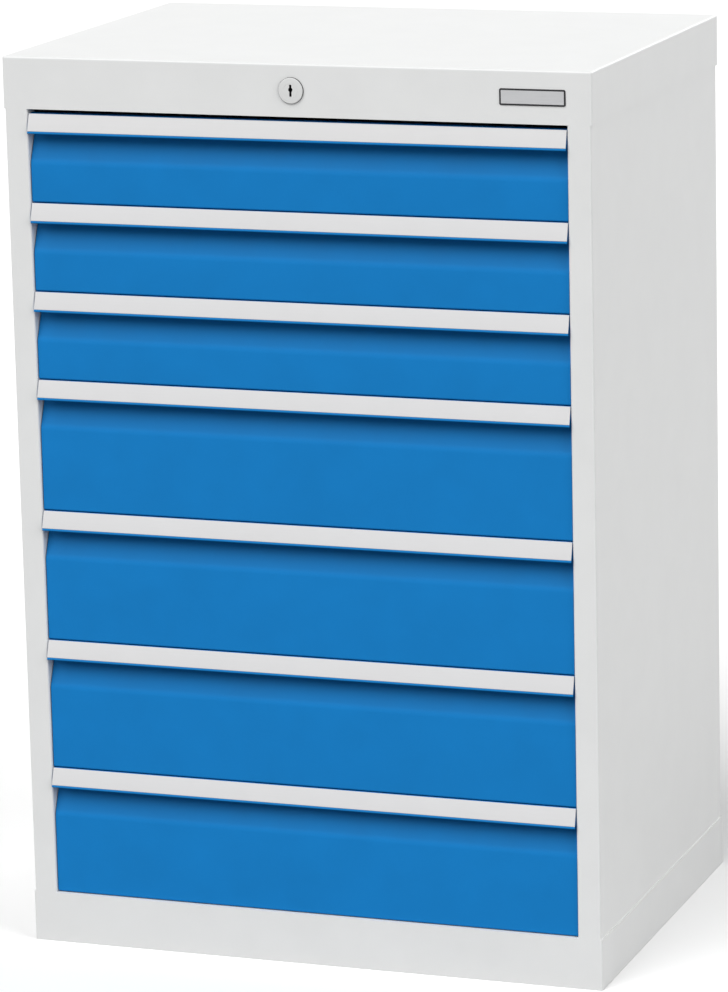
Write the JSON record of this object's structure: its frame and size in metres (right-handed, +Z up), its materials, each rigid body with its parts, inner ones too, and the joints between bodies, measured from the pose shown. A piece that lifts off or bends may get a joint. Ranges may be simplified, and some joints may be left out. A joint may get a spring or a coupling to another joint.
{
  "type": "drawer cabinet",
  "caption": "Free-standing sheet-steel workshop drawer cabinet with a central lock, full-width tilted grips and full-extension drawers.",
  "frame": {"origin": "on the floor, under the middle of the housing", "axes": "+Z up, the drawers open towards -Y, +X to the right of someone facing the front"},
  "size_m": [0.68, 0.4975, 1.019],
  "materials": {
    "light_grey_coat": "satin powder coat",
    "blue_coat": "satin powder coat",
    "strip_white": "matte",
    "zinc_plated_steel": "zinc plated",
    "lock_metal": "satin nickel",
    "plate_aluminium": "satin"
  },
  "bodies": {
    "cabinet": {"side_panel_left": "light_grey_coat", "side_panel_right": "light_grey_coat", "back_panel": "light_grey_coat", "top_cover": "light_grey_coat", "base_plinth": "light_grey_coat", "uprights": "zinc_plated_steel", "cabinet_runners_left": "zinc_plated_steel", "cabinet_runners_right": "zinc_plated_steel", "name_plate": "plate_aluminium", "lock_housing": "lock_metal", "lock_nut": "zinc_plated_steel", "lock_shaft_bearing": "zinc_plated_steel", "lock_bar_guides": "zinc_plated_steel"},
    "lock_rotor": {"lock_core": "lock_metal", "lock_shaft": "zinc_plated_steel", "lock_crank": "zinc_plated_steel"},
    "locking_bar": {"lock_bar": "zinc_plated_steel"},
    "drawer_1": {"drawer_1_tray": "light_grey_coat", "drawer_1_front": "blue_coat", "drawer_1_label_strip": "strip_white", "drawer_1_runners": "zinc_plated_steel", "drawer_1_lock_catch": "zinc_plated_steel"},
    "drawer_1_middle": {"drawer_1_middle_runners": "zinc_plated_steel"},
    "drawer_2": {"drawer_2_tray": "light_grey_coat", "drawer_2_front": "blue_coat", "drawer_2_label_strip": "strip_white", "drawer_2_runners": "zinc_plated_steel", "drawer_2_lock_catch": "zinc_plated_steel"},
    "drawer_2_middle": {"drawer_2_middle_runners": "zinc_plated_steel"},
    "drawer_3": {"drawer_3_tray": "light_grey_coat", "drawer_3_front": "blue_coat", "drawer_3_label_strip": "strip_white", "drawer_3_runners": "zinc_plated_steel", "drawer_3_lock_catch": "zinc_plated_steel"},
    "drawer_3_middle": {"drawer_3_middle_runners": "zinc_plated_steel"},
    "drawer_4": {"drawer_4_tray": "light_grey_coat", "drawer_4_front": "blue_coat", "drawer_4_label_strip": "strip_white", "drawer_4_runners": "zinc_plated_steel", "drawer_4_lock_catch": "zinc_plated_steel"},
    "drawer_4_middle": {"drawer_4_middle_runners": "zinc_plated_steel"},
    "drawer_5": {"drawer_5_tray": "light_grey_coat", "drawer_5_front": "blue_coat", "drawer_5_label_strip": "strip_white", "drawer_5_runners": "zinc_plated_steel", "drawer_5_lock_catch": "zinc_plated_steel"},
    "drawer_5_middle": {"drawer_5_middle_runners": "zinc_plated_steel"},
    "drawer_6": {"drawer_6_tray": "light_grey_coat", "drawer_6_front": "blue_coat", "drawer_6_label_strip": "strip_white", "drawer_6_runners": "zinc_plated_steel", "drawer_6_lock_catch": "zinc_plated_steel"},
    "drawer_6_middle": {"drawer_6_middle_runners": "zinc_plated_steel"},
    "drawer_7": {"drawer_7_tray": "light_grey_coat", "drawer_7_front": "blue_coat", "drawer_7_label_strip": "strip_white", "drawer_7_runners": "zinc_plated_steel", "drawer_7_lock_catch": "zinc_plated_steel"},
    "drawer_7_middle": {"drawer_7_middle_runners": "zinc_plated_steel"}
  },
  "joints": [
    {"name": "drawer_1_slide", "type": "slide", "parent": "cabinet", "child": "drawer_1", "axis": [0, -1, 0], "range_m": [0, 0.4]},
    {"name": "drawer_1_middle_slide", "type": "slide", "parent": "cabinet", "child": "drawer_1_middle", "axis": [0, -1, 0], "range_m": [0, 0.2]},
    {"name": "drawer_2_slide", "type": "slide", "parent": "cabinet", "child": "drawer_2", "axis": [0, -1, 0], "range_m": [0, 0.4]},
    {"name": "drawer_2_middle_slide", "type": "slide", "parent": "cabinet", "child": "drawer_2_middle", "axis": [0, -1, 0], "range_m": [0, 0.2]},
    {"name": "drawer_3_slide", "type": "slide", "parent": "cabinet", "child": "drawer_3", "axis": [0, -1, 0], "range_m": [0, 0.4]},
    {"name": "drawer_3_middle_slide", "type": "slide", "parent": "cabinet", "child": "drawer_3_middle", "axis": [0, -1, 0], "range_m": [0, 0.2]},
    {"name": "drawer_4_slide", "type": "slide", "parent": "cabinet", "child": "drawer_4", "axis": [0, -1, 0], "range_m": [0, 0.4]},
    {"name": "drawer_4_middle_slide", "type": "slide", "parent": "cabinet", "child": "drawer_4_middle", "axis": [0, -1, 0], "range_m": [0, 0.2]},
    {"name": "drawer_5_slide", "type": "slide", "parent": "cabinet", "child": "drawer_5", "axis": [0, -1, 0], "range_m": [0, 0.4]},
    {"name": "drawer_5_middle_slide", "type": "slide", "parent": "cabinet", "child": "drawer_5_middle", "axis": [0, -1, 0], "range_m": [0, 0.2]},
    {"name": "drawer_6_slide", "type": "slide", "parent": "cabinet", "child": "drawer_6", "axis": [0, -1, 0], "range_m": [0, 0.4]},
    {"name": "drawer_6_middle_slide", "type": "slide", "parent": "cabinet", "child": "drawer_6_middle", "axis": [0, -1, 0], "range_m": [0, 0.2]},
    {"name": "drawer_7_slide", "type": "slide", "parent": "cabinet", "child": "drawer_7", "axis": [0, -1, 0], "range_m": [0, 0.4]},
    {"name": "drawer_7_middle_slide", "type": "slide", "parent": "cabinet", "child": "drawer_7_middle", "axis": [0, -1, 0], "range_m": [0, 0.2]},
    {"name": "lock_turn", "type": "hinge", "parent": "cabinet", "child": "lock_rotor", "pos_m": [0, 0, 0.99], "axis": [0, 1, 0], "range_deg": [0, 90]},
    {"name": "locking_bar_lift", "type": "slide", "parent": "cabinet", "child": "locking_bar", "axis": [0, 0, 1], "range_m": [0, 0.01202]}
  ],
  "couplings": [
    {"joint": "drawer_1_middle_slide", "follows": "drawer_1_slide", "ratio": 0.5},
    {"joint": "drawer_2_middle_slide", "follows": "drawer_2_slide", "ratio": 0.5},
    {"joint": "drawer_3_middle_slide", "follows": "drawer_3_slide", "ratio": 0.5},
    {"joint": "drawer_4_middle_slide", "follows": "drawer_4_slide", "ratio": 0.5},
    {"joint": "drawer_5_middle_slide", "follows": "drawer_5_slide", "ratio": 0.5},
    {"joint": "drawer_6_middle_slide", "follows": "drawer_6_slide", "ratio": 0.5},
    {"joint": "drawer_7_middle_slide", "follows": "drawer_7_slide", "ratio": 0.5},
    {"joint": "lock_turn", "follows": "locking_bar_lift", "rad_per_m": 130.67}
  ]
}
